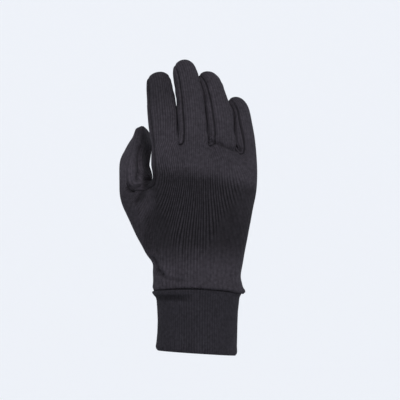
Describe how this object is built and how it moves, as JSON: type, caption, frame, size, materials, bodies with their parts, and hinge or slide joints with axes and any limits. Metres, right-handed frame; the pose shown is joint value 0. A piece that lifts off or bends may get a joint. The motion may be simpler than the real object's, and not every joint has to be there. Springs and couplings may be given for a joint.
{
  "type": "glove liner",
  "caption": "Right-hand stretch-knit glove liner in worn form, with a folded knit cuff, a sewn gusset between the digits and an open wrist.",
  "frame": {"origin": "middle of the cuff's open mouth, where the wrist goes in", "axes": "+Z from the cuff up to the fingertips, -Y the back of the hand, +Y the palm, -X the thumb's side, +X the little finger's side"},
  "size_m": [0.1093, 0.0932, 0.2363],
  "materials": {
    "knit": "matt black stretch knit",
    "cuff_knit": "matt black stretch knit, folded double"
  },
  "bodies": {
    "root": {"back_panel": "knit", "palm_panel": "knit", "thumb_gusset": "knit", "index_gusset": "knit", "middle_gusset": "knit", "ring_gusset": "knit", "cuff": "cuff_knit"}
  },
  "joints": []
}
